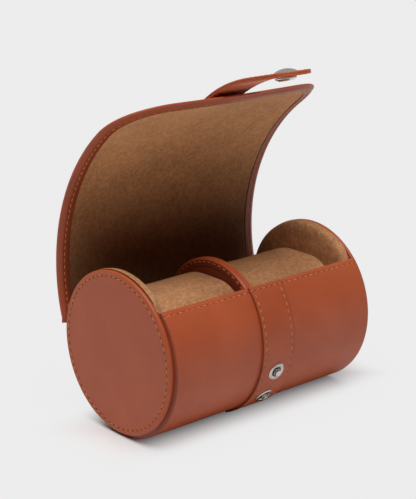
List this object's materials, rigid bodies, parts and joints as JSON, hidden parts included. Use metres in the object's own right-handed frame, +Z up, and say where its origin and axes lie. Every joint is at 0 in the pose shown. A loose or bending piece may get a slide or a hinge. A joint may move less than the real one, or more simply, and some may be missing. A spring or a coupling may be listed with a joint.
{
  "type": "watch travel case",
  "caption": "Cylindrical leather travel case for watches, with lift-out suede cushions, a flexible wrap-over lid and a strap that snaps onto press studs.",
  "frame": {"origin": "middle of the flat that the case rests on, under the cylinder's axis", "axes": "+X along the case towards its right end seen from the strap's side, +Z up, the strap and studs face -Y"},
  "size_m": [0.1546, 0.1304, 0.2125],
  "materials": {
    "case_leather": "smooth waxed tan cowhide",
    "band_leather": "smooth waxed tan cowhide, painted edges",
    "strap_lining": "smooth tan cowhide",
    "suede_lining": "soft light-brown suede",
    "cushion_suede": "soft light-brown suede",
    "foam": "soft foam",
    "board": "grey fibreboard",
    "nickel": "polished nickel"
  },
  "bodies": {
    "case": {"wall_leather": "case_leather", "wall_board": "board", "wall_lining": "suede_lining", "front_band": "band_leather", "back_band": "band_leather", "end_disc_left": "case_leather", "end_disc_right": "case_leather", "end_board_left": "board", "end_board_right": "board", "end_pad_left": "suede_lining", "end_pad_right": "suede_lining", "stud_upper": "nickel", "stud_lower": "nickel", "stud_rivets": "nickel", "divider_board": "board", "divider_faces": "suede_lining", "divider_rim": "case_leather"},
    "cushion_left": {"cushion_cover_left": "cushion_suede", "cushion_core_left": "foam"},
    "cushion_right": {"cushion_cover_right": "cushion_suede", "cushion_core_right": "foam"},
    "lid_1": {"lid_leather_1": "case_leather", "lid_lining_1": "suede_lining", "lid_band_1": "band_leather"},
    "lid_2": {"lid_leather_2": "case_leather", "lid_lining_2": "suede_lining", "lid_band_2": "band_leather"},
    "lid_3": {"lid_leather_3": "case_leather", "lid_lining_3": "suede_lining", "lid_band_3": "band_leather"},
    "lid_4": {"lid_leather_4": "case_leather", "lid_lining_4": "suede_lining", "lid_band_4": "band_leather"},
    "lid_5": {"lid_leather_5": "case_leather", "lid_lining_5": "suede_lining", "lid_band_5": "band_leather"},
    "strap_root": {"strap_root": "band_leather", "strap_root_lining": "strap_lining"},
    "strap_mid": {"strap_mid": "band_leather", "strap_mid_lining": "strap_lining"},
    "strap_tip": {"strap_tip": "band_leather", "strap_tip_lining": "strap_lining", "snap_cap": "nickel", "snap_socket": "nickel"}
  },
  "joints": [
    {"name": "lid_hinge", "type": "hinge", "parent": "case", "child": "lid_1", "pos_m": [0, 0.05031, 0.05677], "axis": [-1, 0, 0], "range_deg": [-26.48, 12]},
    {"name": "lid_bend_1", "type": "hinge", "parent": "lid_1", "child": "lid_2", "pos_m": [0, 0.05439, 0.08867], "axis": [-1, 0, 0], "range_deg": [-24.04, 11]},
    {"name": "lid_bend_2", "type": "hinge", "parent": "lid_2", "child": "lid_3", "pos_m": [0, 0.04843, 0.12029], "axis": [-1, 0, 0], "range_deg": [-16.84, 7.74]},
    {"name": "lid_bend_3", "type": "hinge", "parent": "lid_3", "child": "lid_4", "pos_m": [0, 0.03343, 0.14877], "axis": [-1, 0, 0], "range_deg": [-17.68, 8.12]},
    {"name": "lid_bend_4", "type": "hinge", "parent": "lid_4", "child": "lid_5", "pos_m": [0, 0.01108, 0.17195], "axis": [-1, 0, 0], "range_deg": [-19.56, 8.97]},
    {"name": "strap_lift", "type": "hinge", "parent": "lid_5", "child": "strap_root", "pos_m": [0, 0.00093, 0.18268], "axis": [-1, 0, 0], "range_deg": [-8, 30]},
    {"name": "strap_bend", "type": "hinge", "parent": "strap_root", "child": "strap_mid", "pos_m": [0, -0.01735, 0.19481], "axis": [-1, 0, 0], "range_deg": [-12.27, 8.66]},
    {"name": "strap_curl", "type": "hinge", "parent": "strap_mid", "child": "strap_tip", "pos_m": [0, -0.03746, 0.2023], "axis": [-1, 0, 0], "range_deg": [-21.39, 15]},
    {"name": "cushion_left_lift", "type": "slide", "parent": "case", "child": "cushion_left", "axis": [0, 0, 1], "range_m": [0, 0.072]},
    {"name": "cushion_right_lift", "type": "slide", "parent": "case", "child": "cushion_right", "axis": [0, 0, 1], "range_m": [0, 0.072]}
  ],
  "couplings": [
    {"joint": "lid_bend_1", "follows": "lid_hinge", "ratio": 0.9003},
    {"joint": "lid_bend_2", "follows": "lid_hinge", "ratio": 0.6286},
    {"joint": "lid_bend_3", "follows": "lid_hinge", "ratio": 0.6601},
    {"joint": "lid_bend_4", "follows": "lid_hinge", "ratio": 0.7311},
    {"joint": "strap_bend", "follows": "strap_curl", "ratio": 0.5641}
  ]
}
